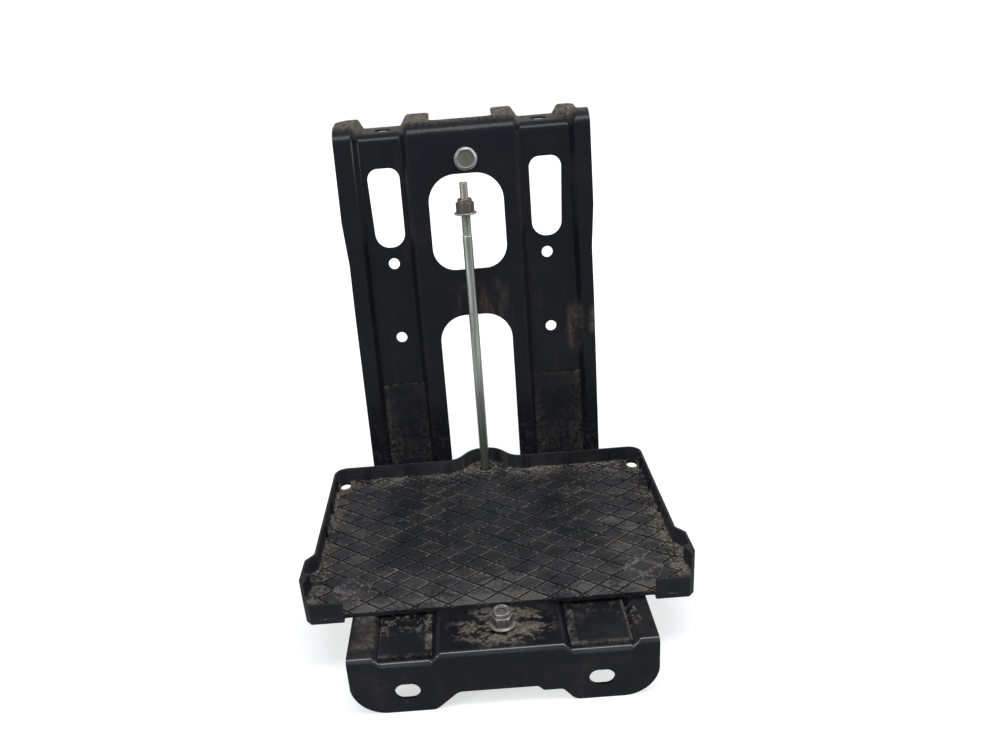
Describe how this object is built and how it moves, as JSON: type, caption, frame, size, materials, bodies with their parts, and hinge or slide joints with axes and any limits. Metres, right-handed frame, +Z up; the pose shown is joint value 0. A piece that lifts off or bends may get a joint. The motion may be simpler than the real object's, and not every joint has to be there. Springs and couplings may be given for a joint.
{
  "type": "car battery tray",
  "caption": "Black pressed-steel battery carrier with an upright back panel, a moulded plastic tray and a hook rod with a flange nut for holding the battery down.",
  "frame": {"origin": "midway between the two fixing slots of the front flange, on the flange's front face", "axes": "+Z up, -Y out of the front flange towards the viewer, X across the carrier, +X to the right"},
  "size_m": [0.287, 0.3134, 0.3596],
  "materials": {
    "black_steel": "gloss",
    "worn_steel": "matte",
    "black_plastic": "matte",
    "zinc_steel": "satin",
    "rusty_steel": "matte"
  },
  "bodies": {
    "root": {"carrier": "black_steel", "stiffener_left": "worn_steel", "stiffener_right": "worn_steel", "tray": "black_plastic", "hook_rod": "zinc_steel", "rod_nut": "rusty_steel", "top_bolt": "zinc_steel", "top_nut": "black_steel", "front_stud": "zinc_steel", "front_washer": "black_steel", "front_nut": "zinc_steel"}
  },
  "joints": []
}
